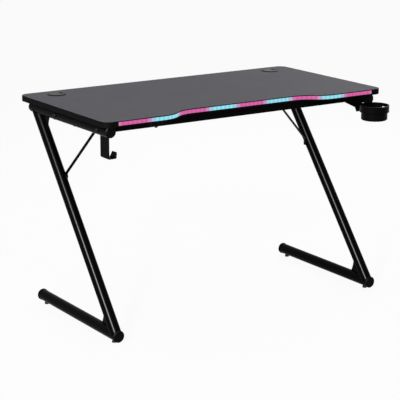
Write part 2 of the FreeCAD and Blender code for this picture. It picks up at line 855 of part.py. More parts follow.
def tongue_taper():
    """The room that the tongue keeps to: wide where it leaves the plate and narrower at its tip."""
    start_x = -hook_x - hook_t
    low_half = hook_tongue_low_w / 2
    tip_half = hook_tongue_tip_w / 2
    outline = [
        V(start_x, hook_y - low_half, hook_low_z),
        V(start_x, hook_y + low_half, hook_low_z),
        V(start_x, hook_y + tip_half, hook_tip_z + hook_t),
        V(start_x, hook_y - tip_half, hook_tip_z + hook_t),
    ]
    return Part.Face(Part.makePolygon(outline + outline[:1])).extrude(X_AXIS * (hook_reach + 2 * hook_t))


def hook_screws():
    seats = [p + V(0, 0, under_z - hook_t) for p in hook_screw_points()]
    return Part.makeCompound([head_bolt(s, Z_AXIS, wood_screw_d, wood_screw_len) for s in seats])


def switch_base():
    return box(V(box_x - box_l / 2, box_y - box_w / 2, under_z - base_t), V(box_l, box_w, base_t))


def switch_housing_low():
    return under_z - base_t - box_h


def switch_housing():
    """An open-topped shell with a ring round the button and a cut-out for the power socket."""
    low = switch_housing_low()
    shell = box(V(box_x - box_l / 2, box_y - box_w / 2, low), V(box_l, box_w, box_h))
    shell = fillet_if(shell, box_round, lambda e: along(e, Z_AXIS))
    inside = box(
        V(box_x - box_l / 2 + box_wall, box_y - box_w / 2 + box_wall, low + box_wall),
        V(box_l - 2 * box_wall, box_w - 2 * box_wall, box_h),
    )
    centre = V(box_x, box_y, 0)
    bezel = Part.makeCylinder(bezel_d / 2, bezel_h + box_wall, centre + V(0, 0, low - bezel_h))
    hole = Part.makeCylinder(button_d / 2 + button_gap, box_h, centre + V(0, 0, low - bezel_h))
    size = socket_size()
    place = socket_low() - V(overrun, seat_gap, seat_gap)
    port = box(place, size + V(0, 2 * seat_gap, 2 * seat_gap))
    return shell.cut(inside).fuse(bezel).removeSplitter().cut([hole, port])


def circuit_low():
    return under_z - base_t - pcb_t


def socket_size():
    return V(socket_len, socket_w, circuit_low() - socket_low().z)


def socket_low():
    return V(box_x - box_l / 2, box_y - socket_w / 2, switch_housing_low() + box_wall + seat_gap)


def power_socket():
    """A low-voltage socket block with its round mouth in the end of the switch box."""
    low = socket_low()
    block = box(low, socket_size())
    mouth = V(low.x, box_y, low.z + socket_size().z / 2)
    bore = rod(mouth, mouth + X_AXIS * socket_bore_deep, socket_bore_d / 2)
    pin = rod(mouth + X_AXIS * box_wall, mouth + X_AXIS * socket_len, socket_pin_d / 2)
    return block.cut(bore).fuse(pin).removeSplitter()


def button_flange_low():
    return switch_housing_low() + box_wall + button_stop_gap


def led_button():
    low = switch_housing_low() - bezel_h - button_out
    flange_z = button_flange_low()
    centre = V(box_x, box_y, 0)
    stem = Part.makeCylinder(button_d / 2, flange_z - low, centre + V(0, 0, low))
    rims = sorted(stem.Edges, key=lambda e: e.CenterOfMass.z)
    stem = stem.makeChamfer(button_chamfer, rims[:1])
    flange = Part.makeCylinder(button_flange_d / 2, button_flange_t, centre + V(0, 0, flange_z))
    return stem.fuse(flange).removeSplitter()


def switch_board():
    """A circuit board against the base, with a key switch that hangs down to the button."""
    tip = button_flange_low() + button_flange_t + button_travel + button_stop_gap
    centre = V(box_x, box_y, 0)
    body_z = tip + switch_plunger_h
    around = 2 * (box_wall + pcb_gap)
    size = V(box_l - around, box_w - around, pcb_t)
    pcb = box(centre + V(-size.x / 2, -size.y / 2, circuit_low()), size)
    key_size = V(switch_size, switch_size, circuit_low() - body_z)
    key = box(centre + V(-switch_size / 2, -switch_size / 2, body_z), key_size)
    plunger = Part.makeCylinder(switch_plunger_d / 2, switch_plunger_h, centre + V(0, 0, tip))
    return pcb.fuse([key, plunger]).removeSplitter()


def all_pieces():
    pieces = {
        "desktop_board": desktop_board(),
        "led_channel": led_channel(),
        "led_strip": led_strip(),
        "led_chips": led_chips(),
        "led_diffuser": led_diffuser(),
        "front_crossbar": crossbar(front_bar_y),
        "rear_crossbar": crossbar(rear_bar_y),
        "crossbar_bolts": crossbar_bolts(),
        "brace_bolts": brace_bolts(),
        "board_bolts": board_bolts(),
        "board_inserts": board_inserts(),
        "leveller_nuts": leveller_nuts(),
        "cup_bracket": cup_bracket(),
        "cup_bracket_screws": bracket_screws(),
        "cup_pivot_pin": pivot_pin(),
        "cup_basket": cup_basket(),
        "headphone_hook": headphone_hook(),
        "hook_screws": hook_screws(),
        "switch_base": switch_base(),
        "switch_housing": switch_housing(),
        "switch_board": switch_board(),
        "led_button": led_button(),
        "power_socket": power_socket(),
    }
    for side, sign in SIDES:
        pieces[side + "_top_rail"] = top_rail(sign)
        pieces[side + "_leg"] = leg(sign)
        pieces[side + "_foot_rail"] = foot_rail(sign)
        pieces[side + "_upper_gusset"] = gusset(sign, True)
        pieces[side + "_lower_gusset"] = gusset(sign, False)
        pieces[side + "_brace"] = brace(sign)
        pieces[side + "_rail_front_cap"] = tube_cap(sign, rail_front_y, rail_z, -1, 0)
        pieces[side + "_rail_rear_cap"] = tube_cap(sign, rail_rear_y, rail_z, 1, 0)
        pieces[side + "_foot_front_cap"] = tube_cap(sign, foot_front_y, foot_z, -1, cap_lip)
        pieces[side + "_foot_rear_cap"] = tube_cap(sign, foot_rear_y, foot_z, 1, cap_lip)
        pieces[side + "_grommet_sleeve"] = grommet_sleeve(sign)
        pieces[side + "_grommet_cap"] = grommet_cap(sign)
        for end, point in zip(("front", "rear"), leveller_points(sign)):
            pieces[side + "_" + end + "_leveller"] = leveller(point)
    return pieces


os.makedirs("parts", exist_ok=True)
for name, shape in all_pieces().items():
    shape.translate(ORIGIN_SHIFT)
    shape.exportStep("parts/" + name + ".step")
    print(name, len(shape.Solids), round(shape.Volume), shape.isValid())
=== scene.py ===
# %% [markdown]
# A gaming desk, dressed for a studio picture
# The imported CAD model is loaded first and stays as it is: every rail, bracket and cap is already
# in its place, in metres. What is left for Blender is what CAD does not hold: the finishes, the
# lit front edge, the heads and threads of the small fasteners, the light of the room and the
# camera.

# %% Load the frame
import json
import math

import bmesh
import bpy
from mathutils import Matrix, Vector


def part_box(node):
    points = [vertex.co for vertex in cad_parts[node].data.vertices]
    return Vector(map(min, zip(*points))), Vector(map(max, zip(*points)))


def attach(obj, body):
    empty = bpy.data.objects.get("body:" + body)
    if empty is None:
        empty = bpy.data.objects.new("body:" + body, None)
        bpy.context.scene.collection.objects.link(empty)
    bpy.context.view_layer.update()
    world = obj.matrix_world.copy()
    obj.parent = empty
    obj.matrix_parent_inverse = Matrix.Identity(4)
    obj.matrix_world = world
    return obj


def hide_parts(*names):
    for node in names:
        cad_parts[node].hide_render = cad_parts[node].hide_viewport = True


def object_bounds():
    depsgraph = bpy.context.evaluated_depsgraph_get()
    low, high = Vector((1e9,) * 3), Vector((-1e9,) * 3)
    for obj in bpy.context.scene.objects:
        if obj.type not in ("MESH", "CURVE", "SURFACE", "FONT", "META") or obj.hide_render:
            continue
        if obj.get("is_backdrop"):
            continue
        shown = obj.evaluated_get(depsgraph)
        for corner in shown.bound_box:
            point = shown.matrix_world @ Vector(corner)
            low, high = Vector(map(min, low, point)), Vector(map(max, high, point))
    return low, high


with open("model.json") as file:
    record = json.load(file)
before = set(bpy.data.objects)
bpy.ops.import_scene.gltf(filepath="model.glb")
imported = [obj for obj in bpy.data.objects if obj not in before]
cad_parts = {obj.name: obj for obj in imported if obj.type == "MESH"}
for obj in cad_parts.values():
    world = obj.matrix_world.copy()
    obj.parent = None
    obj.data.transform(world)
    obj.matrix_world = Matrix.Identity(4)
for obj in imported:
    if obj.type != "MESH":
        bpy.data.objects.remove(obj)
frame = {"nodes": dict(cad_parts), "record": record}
nodes = frame["nodes"]
cad_low, cad_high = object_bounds()
bpy.ops.object.select_all(action="DESELECT")
scene = bpy.context.scene
scene.view_settings.view_transform = "Standard"
mm = 0.001
print("loaded", len(nodes), "nodes, size", [round(v, 3) for v in cad_high - cad_low])

# %% [markdown]
# Two small helpers serve every finish. The first turns an sRGB hex colour into the linear numbers
# that shaders work in. The second adds one node, sets it up and links it, so that a material reads
# as a short list from the pattern to the shader.

# %% Helpers for nodes
def colour(hex_code):
    """An sRGB hex colour as linear RGBA."""
    parts = [int(hex_code[i:i + 2], 16) / 255 for i in (1, 3, 5)]
    linear = [c / 12.92 if c <= 0.04045 else ((c + 0.055) / 1.055) ** 2.4 for c in parts]
    return (*linear, 1.0)


def add(tree, kind, settings=None, inputs=None):
    """One node with its settings; an input that is another node's output is linked."""
    node = tree.nodes.new(kind)
    for key, value in (settings or {}).items():
        setattr(node, key, value)
    for key, value in (inputs or {}).items():
        if isinstance(value, bpy.types.NodeSocket):
            tree.links.new(value, node.inputs[key])
        else:
            node.inputs[key].default_value = value
    return node


print("node helpers ready")

# %% [markdown]
# No real surface is one flat colour. A pressed, sprayed or moulded skin has fine lumps, its gloss
# changes a little from lump to lump, and over a hand's width its colour drifts. One function gives
# all three from two noises: a fine one whose lumps have a real size, and a wide one for the drift.
# Noise on Object coordinates needs no unwrapping and does not stretch, which suits pieces that
# come from CAD.

# %% One function for a skin
drift_size = 90 * mm
drift_detail = 3
lump_detail = 2
gloss_spread = 0.06
relief_strength = 0.4


def finish(name, dark, light, rough, lump, depth, **sockets):
    """A material whose tint drifts between two colours, with lumps of a given size and depth."""
    material = bpy.data.materials.new(name)
    material.use_nodes = True
    tree = material.node_tree
    shader = tree.nodes["Principled BSDF"]
    for key, value in sockets.items():
        shader.inputs[key.replace("_", " ")].default_value = value
    place = add(tree, "ShaderNodeTexCoord").outputs["Object"]
    wide = {"Vector": place, "Scale": 1 / drift_size, "Detail": drift_detail}
    drift = add(tree, "ShaderNodeTexNoise", None, wide)
    tint = add(tree, "ShaderNodeMix", {"data_type": "RGBA"}, {0: drift.outputs["Fac"]})
    tint.inputs["A"].default_value = colour(dark)
    tint.inputs["B"].default_value = colour(light)
    tree.links.new(tint.outputs["Result"], shader.inputs["Base Color"])
    fine = {"Vector": place, "Scale": 1 / lump, "Detail": lump_detail}
    lumps = add(tree, "ShaderNodeTexNoise", None, fine)
    least, most = rough - gloss_spread, rough + gloss_spread
    spread = {"Value": lumps.outputs["Fac"], "To Min": least, "To Max": most}
    gloss = add(tree, "ShaderNodeMapRange", None, spread)
    tree.links.new(gloss.outputs["Result"], shader.inputs["Roughness"])
    height = {"Height": lumps.outputs["Fac"], "Distance": depth, "Strength": relief_strength}
    relief = add(tree, "ShaderNodeBump", None, height)
    tree.links.new(relief.outputs["Normal"], shader.inputs["Normal"])
    return material


def opened(material):
    """The node tree of a finish and its shader, for adding to them."""
    return material.node_tree, material.node_tree.nodes["Principled BSDF"]


print("drift over", drift_size, "m")

# %% [markdown]
# The worktop is particle board under a dark grey melamine film, pressed against a plate that
# leaves a fine matt grain. Its edges carry a black plastic band. Both are on one CAD piece, so the
# height of a point decides which it is: the film covers only the flat top, and all below it is
# band. The grain is drawn coarser than the real 0.3 mm, so that it shows at all from picture
# distance.

# %% Worktop: melamine film and plastic edge band
board_low, board_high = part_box("desktop_board")
film_depth = 0.2 * mm
film_grain = 1.6 * mm
worktop = finish(
    "melamine film, matt pressed", "#646368", "#6c6b70",
    rough=0.6, lump=film_grain, depth=0.03 * mm, Specular_IOR_Level=0.016)
tree, shader = opened(worktop)
place = add(tree, "ShaderNodeTexCoord").outputs["Object"]
film_tint = shader.inputs["Base Color"].links[0].from_socket
height = add(tree, "ShaderNodeSeparateXYZ", None, {"Vector": place}).outputs["Z"]
film_low = board_high.z - film_depth
on_top = add(tree, "ShaderNodeMath", {"operation": "GREATER_THAN"}, {0: height, 1: film_low})
tone = add(tree, "ShaderNodeMix", {"data_type": "RGBA"}, {0: on_top.outputs[0]})
tone.inputs["A"].default_value = colour("#070708")
tree.links.new(film_tint, tone.inputs["B"])
tree.links.new(tone.outputs["Result"], shader.inputs["Base Color"])
print("worktop film above", round(film_low, 4))

# %% [markdown]
# The frame is steel tube under black powder coat. The powder melts and flows into a skin with a
# slight orange peel, about 2 mm from lump to lump, so a highlight along a tube is a thin line with
# soft edges. The black stays deep in a white room, so the specular level is low: the coat mirrors
# lamps and little else.

# %% Frame: powder coat
coat = finish(
    "powder coat, satin black", "#050506", "#080809",
    rough=0.26, lump=2 * mm, depth=0.006 * mm, Specular_IOR_Level=0.013)
print("made", coat.name)

# %% [markdown]
# Caps, grommets, cup and switch box are moulded plastic. A mould is textured by sparks, which
# leave small craters, so these pieces are duller than the frame. The cup and the button come from
# smoother moulds.

# %% Moulded plastics
spark = 0.8 * mm
moulded = finish(
    "polypropylene, spark textured", "#060607", "#0a0a0b",
    rough=0.5, lump=spark, depth=0.03 * mm, Specular_IOR_Level=0.025)
cup_skin = finish(
    "polypropylene, smooth moulded", "#050506", "#080809",
    rough=0.3, lump=spark, depth=0.01 * mm, Specular_IOR_Level=0.025)
# The lids' lighter grey is painted sheen: it stands in for the light their flat tops reflect.
lid_painted_sheen = finish(
    "ABS, fine textured, painted sheen", "#404044", "#47474b",
    rough=0.5, lump=spark, depth=0.02 * mm, Specular_IOR_Level=0.1)
polished = finish(
    "ABS, polished mould", "#121213", "#161617",
    rough=0.2, lump=spark, depth=0.005 * mm, Specular_IOR_Level=0.3)
rubber = finish(
    "thermoplastic rubber, matt moulded", "#0c0c0c", "#111111",
    rough=0.75, lump=spark, depth=0.04 * mm, Specular_IOR_Level=0.1)
print("made", moulded.name, cup_skin.name, lid_painted_sheen.name, polished.name, rubber.name)

# %% [markdown]
# Screws and studs are zinc plated, which leaves a bright skin with faint crystals. Bolts are
# blackened in an oxide bath, which keeps the steel's own fine turning marks. The threaded inserts
# are plain brass.

# %% Metals
crystal = 0.7 * mm
zinc = finish(
    "zinc plate, bright", "#b4b6bb", "#c6c8cc",
    rough=0.32, lump=crystal, depth=0.01 * mm, Metallic=1.0)
blackened = finish(
    "steel, black oxide", "#0b0b0c", "#101011",
    rough=0.5, lump=crystal, depth=0.01 * mm, Metallic=1.0)
brass = finish(
    "brass, turned", "#c39d50", "#d2ad61",
    rough=0.3, lump=crystal, depth=0.01 * mm, Metallic=1.0)
print("made", zinc.name, blackened.name, brass.name)

# %% [markdown]
# Behind the milky cover lie a white circuit strip and its light packages, and in the switch box is
# a green circuit board. Printed ink and solder mask are smooth films with a little unevenness.

# %% Circuit pieces
ink = 1.5 * mm
strip_white = finish(
    "polyimide strip, white ink", "#dcdcd8", "#e6e6e3",
    rough=0.5, lump=ink, depth=0.005 * mm)
chip_white = finish(
    "silicone lens, white", "#ececdf", "#f4f4ec",
    rough=0.25, lump=ink, depth=0.002 * mm)
solder_mask = finish(
    "solder mask, green", "#1a5030", "#236240",
    rough=0.35, lump=ink, depth=0.005 * mm)
print("made", strip_white.name, chip_white.name, solder_mask.name)

# %% [markdown]
# The front edge holds a milky light cover that follows the wave of the board. The CAD strip has
# the right size but sharp corners and no map along its length. A curve with a bevel could follow
# the wave, but a sweep by hand keeps the true arcs: a small rounded profile is extruded along each
# straight run and spun round each bend. With no window open, spin turns clockwise for a positive
# angle, seen from above.

# %% Light cover: the sizes of the wave
cover_low, cover_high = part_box("led_diffuser")
cover_thick = 2.0 * mm
cover_round = 0.7 * mm
bulge_x = 345 * mm
hollow_x = 210 * mm
bend_steps = 16
half_run = cover_high.x
wave_depth = cover_high.y - cover_low.y - cover_thick
bend_run = bulge_x - hollow_x
bend_radius = (bend_run**2 + wave_depth**2) / (4 * wave_depth)
bend_angle = math.asin(bend_run / 2 / bend_radius)
bulge_y = cover_low.y + bend_radius
hollow_y = cover_low.y + wave_depth - bend_radius
bend_degrees = round(math.degrees(bend_angle), 1)
print("bends of", round(bend_radius / mm, 1), "mm through", bend_degrees, "degrees")

# %% [markdown]
# In edit mode an operator works on what is selected, so a helper selects by place: it takes a test
# and selects only the corner points, or the faces, that pass it.

# %% Helper to select by place
weld_within = 0.001 * mm


def pick(piece, kind, test):
    """In edit mode, select only the points ("VERT") or faces ("FACE") that pass the test."""
    bpy.ops.mesh.select_mode(type=kind)
    bpy.ops.mesh.select_all(action="DESELECT")
    mesh = bmesh.from_edit_mesh(piece.data)
    for part in mesh.verts if kind == "VERT" else mesh.faces:
        part.select = test(part)
    mesh.select_flush_mode()
    bmesh.update_edit_mesh(piece.data)


def start_piece(name):
    """Name the new primitive, move its place into its mesh and open it for editing."""
    piece = bpy.context.object
    piece.name = name
    piece.data.name = name
    bpy.ops.object.transform_apply(location=True, rotation=True, scale=True)
    bpy.ops.object.mode_set(mode="EDIT")
    return piece


def end_piece(piece, smooth_below):
    """Merge doubles, turn faces outwards, close edit mode and smooth the shallow edges."""
    bpy.ops.mesh.select_all(action="SELECT")
    bpy.ops.mesh.remove_doubles(threshold=weld_within)
    bpy.ops.mesh.normals_make_consistent(inside=False)
    bpy.ops.object.mode_set(mode="OBJECT")
    bpy.ops.object.shade_smooth_by_angle(angle=math.radians(smooth_below))
    piece.select_set(False)


print("select helper ready")

# %% [markdown]
# The sweep starts at the left end with a plane as thick and as high as the cover. Its two front
# corners are rounded while it is still flat, which is cheaper than rounding long curved edges
# later.

# %% Light cover: the profile
round_steps = 4
cover_y = cover_low.y + cover_thick / 2
cover_z = (cover_low.z + cover_high.z) / 2
left_end = (-half_run, cover_y, cover_z)
bpy.ops.mesh.primitive_plane_add(size=1, location=left_end, rotation=(0, math.pi / 2, 0))
bpy.context.object.scale = (cover_high.z - cover_low.z, cover_thick, 1)
cover = start_piece("light_cover")
pick(cover, "VERT", lambda v: v.co.y < cover_y)
bpy.ops.mesh.bevel(offset=cover_round, segments=round_steps, affect="VERTICES")
bpy.ops.mesh.select_all(action="SELECT")
print("profile", len(cover.data.vertices), "corners before rounding")

# %% [markdown]
# Now the profile walks to the right. Each step leaves its new end selected, so the next step goes
# on from there: run, bend back, bend straight, run along the hollow, and the same again in mirror
# order.

# %% Light cover: the sweep
def run_right(length):
    bpy.ops.mesh.extrude_region_move(TRANSFORM_OT_translate={"value": (length, 0, 0)})


def bend(x, y, angle):
    bpy.ops.mesh.spin(steps=bend_steps, angle=angle, center=(x, y, cover_z), axis=(0, 0, 1))


run_right(half_run - bulge_x)
bend(-bulge_x, bulge_y, -bend_angle)
bend(-hollow_x, hollow_y, bend_angle)
run_right(2 * hollow_x)
bend(hollow_x, hollow_y, bend_angle)
bend(bulge_x, bulge_y, -bend_angle)
run_right(half_run - bulge_x)
end_piece(cover, smooth_below=40)
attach(cover, "desk")
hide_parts("led_diffuser")
right_end = max(v.co.x for v in cover.data.vertices)
print("light cover", len(cover.data.polygons), "faces, ends at", round(right_end, 4))

# %% [markdown]
# The lights sit at an even pitch along the wave, not along a straight line, so the cover gets its
# own UV map. Its first number is the way along the edge, in metres from the middle of the desk,
# which can be worked out from a point's place across the desk. Its second number is the height.

# %% Light cover: a map along its length
def way_along(x):
    """Length along the front edge from the middle of the desk to a place across it."""
    side = math.copysign(1, x)
    across = min(abs(x), bulge_x)
    way = min(across, hollow_x) + abs(x) - across
    if across > hollow_x:
        near = min(across - hollow_x, bend_run / 2)
        far = max(across - hollow_x - bend_run / 2, 0)
        way += bend_radius * math.asin(near / bend_radius)
        if far:
            way += bend_radius * (bend_angle - math.asin(max(bend_run / 2 - far, 0) / bend_radius))
    return side * way


along_map = cover.data.uv_layers.new(name="along the edge")
for loop in cover.data.loops:
    point = cover.data.vertices[loop.vertex_index].co
    along_map.data[loop.index].uv = (way_along(point.x), point.z - cover_low.z)
half_way = way_along(half_run)
print("lit edge", round(2 * half_way, 3), "m long")

# %% [markdown]
# The cover glows in lengths of pink and cyan that melt into each other, and each light behind it
# shows as a brighter spot. A colour ramp holds two stops at each change of colour. The spots are a
# cosine wave whose length is the pitch of the lights. The last few millimetres at both ends are
# paler, where light leaks out.

# %% Lit cover
change_places = (-393, -272, -138, -28, 94, 199, 297, 390)
melt = 32 * mm
pale_end = 7 * mm
light_pitch = 16.7 * mm
between_spots = 0.86
at_spots = 1.1
pink = colour("#d2589f")
cyan = colour("#8adcee")
pale = colour("#d7a3bd")
lit = finish(
    "acrylic, milky and lit", "#1a1a1c", "#1e1e20",
    rough=0.35, lump=2 * mm, depth=0.005 * mm, Specular_IOR_Level=0.2)
tree, shader = opened(lit)
way_map = add(tree, "ShaderNodeUVMap", {"uv_map": along_map.name}).outputs["UV"]
way = add(tree, "ShaderNodeSeparateXYZ", None, {"Vector": way_map}).outputs["X"]
whole = {"Value": way, "From Min": -half_way, "From Max": half_way}
share = add(tree, "ShaderNodeMapRange", None, whole)
ramp = add(tree, "ShaderNodeValToRGB", None, {"Fac": share.outputs["Result"]})
stops = ramp.color_ramp.elements
stops[0].color = pale
stops[1].color = pale
marks = [(-half_way + pale_end, pink), (half_way - pale_end, pink)]
for i, x in enumerate(change_places):
    middle = way_along(x * mm)
    before, after = (pink, cyan) if i % 2 == 0 else (cyan, pink)
    marks += [(middle - melt / 2, before), (middle + melt / 2, after)]
for mark, tint in sorted(marks):
    stops.new((mark + half_way) / (2 * half_way)).color = tint
turn_rate = 2 * math.pi / light_pitch
turns = add(tree, "ShaderNodeMath", {"operation": "MULTIPLY"}, {0: way, 1: turn_rate})
spots = add(tree, "ShaderNodeMath", {"operation": "COSINE"}, {0: turns.outputs[0]})
wave = {"Value": spots.outputs[0], "From Min": -1.0, "To Min": between_spots, "To Max": at_spots}
level = add(tree, "ShaderNodeMapRange", None, wave)
glow = add(tree, "ShaderNodeVectorMath", {"operation": "SCALE"}, {0: ramp.outputs["Color"]})
tree.links.new(level.outputs["Result"], glow.inputs["Scale"])
tree.links.new(glow.outputs["Vector"], shader.inputs["Emission Color"])
shader.inputs["Emission Strength"].default_value = 1.0
cover.data.materials.append(lit)
print("lit lengths", len(change_places) + 1, "with a spot every", light_pitch, "m")

# %% [markdown]
# The frame is held by button-head bolts with a six-sided socket, and the bracket and the hook by
# pan-head screws with a cross in them. CAD has them as plain heads. Both kinds start as a short
# cylinder: its outer rim is rounded with a bevel, its inner face is inset to the shank and
# extruded, and a cutter shape takes out the socket with a Boolean. Each kind is modelled once, at
# the origin with its seat at zero height.

# %% Fasteners: one head and shank
head_width = 1.75
head_height = 0.5
low_head_height = 0.25
head_sides = 32
rim_share = 0.6
level_face = 0.9


def fastener(name, size, length, tall):
    """A round-headed bolt: head below zero height, shank above it."""
    radius = size * head_width / 2
    middle = (0, 0, -tall / 2)
    bpy.ops.mesh.primitive_cylinder_add(
        vertices=head_sides, radius=radius, depth=tall, location=middle)
    piece = start_piece(name)
    pick(piece, "FACE", lambda f: f.normal.z < -level_face)
    bpy.ops.mesh.bevel(offset=tall * rim_share, segments=round_steps, affect="EDGES")
    pick(piece, "FACE", lambda f: f.normal.z > level_face)
    bpy.ops.mesh.inset(thickness=radius - size / 2)
    bpy.ops.mesh.extrude_region_move(TRANSFORM_OT_translate={"value": (0, 0, length)})
    end_piece(piece, smooth_below=35)
    return piece


print("heads are", head_width, "times as wide as their shanks")

# %% [markdown]
# The cutter for a socket is a six-sided prism, and the cutter for a cross is two thin bars. A
# Boolean that is applied straight away leaves a plain mesh, and the cutter is deleted.

# %% Fasteners: sockets
cutter_drop = 0.8
socket_sides = 6
socket_share = 0.36
cross_long = 0.95
cross_wide = 0.24


def cut(piece, cutter):
    """Take the cutter out of the piece and delete it."""
    shave = piece.modifiers.new("socket", "BOOLEAN")
    shave.object = cutter
    shave.operation = "DIFFERENCE"
    bpy.context.view_layer.objects.active = piece
    bpy.ops.object.modifier_apply(modifier=shave.name)
    bpy.data.objects.remove(cutter)


def socket_bolt(name, size, length, tall):
    piece = fastener(name, size, length, tall)
    low_end = (0, 0, -tall * cutter_drop)
    bpy.ops.mesh.primitive_cylinder_add(
        vertices=socket_sides, radius=size * socket_share, depth=tall, location=low_end)
    cut(piece, bpy.context.object)
    return piece


def cross_screw(name, size, length, tall):
    piece = fastener(name, size, length, tall)
    for turn in (0, math.pi / 2):
        low_end = (0, 0, -tall * cutter_drop)
        bpy.ops.mesh.primitive_cube_add(size=1, location=low_end, rotation=(0, 0, turn))
        bar = bpy.context.object
        bar.scale = (size * cross_long, size * cross_wide, tall)
        bpy.ops.object.transform_apply(location=True, rotation=True, scale=True)
        cut(piece, bar)
    return piece


print("two kinds of fastener ready")

# %% [markdown]
# Every fastener sits where its CAD node is. The corners of a node's box, less half a head, give
# the seats, so nothing is measured twice. A copy gets its own mesh, and its turn and place go into
# that mesh.

# %% Fasteners: copies on their seats
def set_out(node, master, finish_material, seats):
    """Copies of a fastener at (place, direction) seats, standing for one CAD node."""
    for i, (place, way) in enumerate(seats):
        copy = bpy.data.objects.new(f"{master.name}_{i + 1}", master.data.copy())
        scene.collection.objects.link(copy)
        turn = Vector((0, 0, 1)).rotation_difference(Vector(way)).to_matrix().to_4x4()
        copy.data.transform(Matrix.Translation(place) @ turn)
        copy.data.materials.clear()
        copy.data.materials.append(finish_material)
        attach(copy, "desk")
        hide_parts(node)
    bpy.data.objects.remove(master)
    print(node, "has", len(seats), "fasteners")


bar_size = 8 * mm
bar_length = 54 * mm
tall = bar_size * head_height
low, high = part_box("crossbar_bolts")
half_head = bar_size * head_width / 2
seats = []
for y in (low.y + half_head, high.y - half_head):
    for x, way in ((low.x, 1), (high.x, -1)):
        seats.append((Vector((x + way * tall, y, (low.z + high.z) / 2)), (way, 0, 0)))
bolt = socket_bolt("crossbar_bolt", bar_size, bar_length, tall)
set_out("crossbar_bolts", bolt, blackened, seats)

# %% [markdown]
# The braces have one bolt into the leg and one up into the crossbar at each side. The board has
# three bolts up through each top rail, with lower heads, which keep the underside of the rail
# nearly flat.

# %% Fasteners: brace bolts and board bolts
brace_size = 6 * mm
brace_bite = 12 * mm
brace_top_x = 333 * mm
low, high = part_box("brace_bolts")
half_head = brace_size * head_width / 2
brace_y = (low.y + high.y) / 2
seats = []
for side in (-1, 1):
    in_leg = Vector((side * (high.x - brace_bite), brace_y, low.z + half_head))
    in_bar = Vector((side * brace_top_x, brace_y, high.z - brace_bite))
    seats += [(in_leg, (side, 0, 0)), (in_bar, (0, 0, 1))]
bolt = socket_bolt("brace_bolt", brace_size, brace_bite, brace_size * head_height)
set_out("brace_bolts", bolt, blackened, seats)

board_length = 50 * mm
second_share = 0.48
tall = brace_size * low_head_height
low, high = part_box("board_bolts")
first_y = low.y + half_head
last_y = high.y - half_head
seats = []
for x in (low.x + half_head, high.x - half_head):
    for share in (0, second_share, 1):
        y = first_y + share * (last_y - first_y)
        seats.append((Vector((x, y, low.z + tall)), (0, 0, 1)))
bolt = socket_bolt("board_bolt", brace_size, board_length, tall)
set_out("board_bolts", bolt, blackened, seats)

# %% [markdown]
# Two short zinc plated screws hold the cup's bracket and two more hold the headphone hook.

# %% Fasteners: screws
screw_size = 4 * mm
screw_length = 14 * mm
tall = screw_size * head_height
half_head = screw_size * head_width / 2
for node, name in (("cup_bracket_screws", "bracket_screw"), ("hook_screws", "hook_screw")):
    low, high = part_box(node)
    first = Vector((low.x + half_head, low.y + half_head, low.z + tall))
    last = Vector((high.x - half_head, high.y - half_head, low.z + tall))
    seats = [(first, (0, 0, 1)), (last, (0, 0, 1))]
    set_out(node, cross_screw(name, screw_size, screw_length, tall), zinc, seats)

# %% [markdown]
# A levelling foot is a soft pad moulded round a threaded stud. It starts as a cylinder for the
# pad. Its top rim is bevelled, its top is inset and pulled up into the collar, and inset again for
# the stud. The thread is drawn as rings: the end face goes up half a pitch and in, then half a
# pitch and out, again and again. A true helix looks the same at this pitch and would leave an open
# end to close.

# %% Levelling foot: one pad, collar and stud
pad_high = 5 * mm
pad_round = 1 * mm
collar_radius = 5.5 * mm
collar_top = 5.9 * mm
stud_radius = 3 * mm
stud_top = 30 * mm
thread_pitch = 1 * mm
thread_root = 0.85
pad_sides = 48
pad_steps = 5
low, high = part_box("left_front_leveller")
pad_radius = (high.x - low.x) / 2
middle = (0, 0, pad_high / 2)
bpy.ops.mesh.primitive_cylinder_add(
    vertices=pad_sides, radius=pad_radius, depth=pad_high, location=middle)
foot = start_piece("levelling_foot")
pick(foot, "FACE", lambda f: f.normal.z > level_face)
bpy.ops.mesh.bevel(offset=pad_round, segments=pad_steps, affect="EDGES")
pick(foot, "FACE", lambda f: f.normal.z > level_face and f.calc_area() > collar_radius**2)
bpy.ops.mesh.inset(thickness=pad_radius - pad_round - collar_radius)
bpy.ops.mesh.extrude_region_move(TRANSFORM_OT_translate={"value": (0, 0, collar_top - pad_high)})
bpy.ops.mesh.inset(thickness=collar_radius - stud_radius)
rings = int((stud_top - collar_top) / thread_pitch)
half_pitch = (stud_top - collar_top) / rings / 2
for ring in range(rings):
    for grow in (thread_root, 1 / thread_root):
        bpy.ops.mesh.extrude_region_move(TRANSFORM_OT_translate={"value": (0, 0, half_pitch)})
        bpy.ops.transform.resize(value=(grow, grow, 1), center_override=(0, 0, 0))
end_piece(foot, smooth_below=35)
print("levelling foot", len(foot.data.polygons), "faces and", rings, "thread rings")

# %% [markdown]
# The pad and collar are rubber and the stud is zinc plated steel. The four copies ride on the four
# bodies that screw up and down.

# %% Levelling feet: four copies
foot.data.materials.append(rubber)
foot.data.materials.append(zinc)
for face in foot.data.polygons:
    on_stud = face.center.z > collar_top and face.center.xy.length < stud_radius
    face.material_index = 1 if on_stud else 0
for side in ("left", "right"):
    for end in ("front", "rear"):
        node = f"{side}_{end}_leveller"
        low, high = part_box(node)
        copy = bpy.data.objects.new(f"{side}_{end}_levelling_foot", foot.data.copy())
        scene.collection.objects.link(copy)
        seat = ((low.x + high.x) / 2, (low.y + high.y) / 2, low.z)
        copy.data.transform(Matrix.Translation(seat))
        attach(copy, f"{side}_{end}_foot")
        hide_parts(node)
bpy.data.objects.remove(foot)
print("four levelling feet")
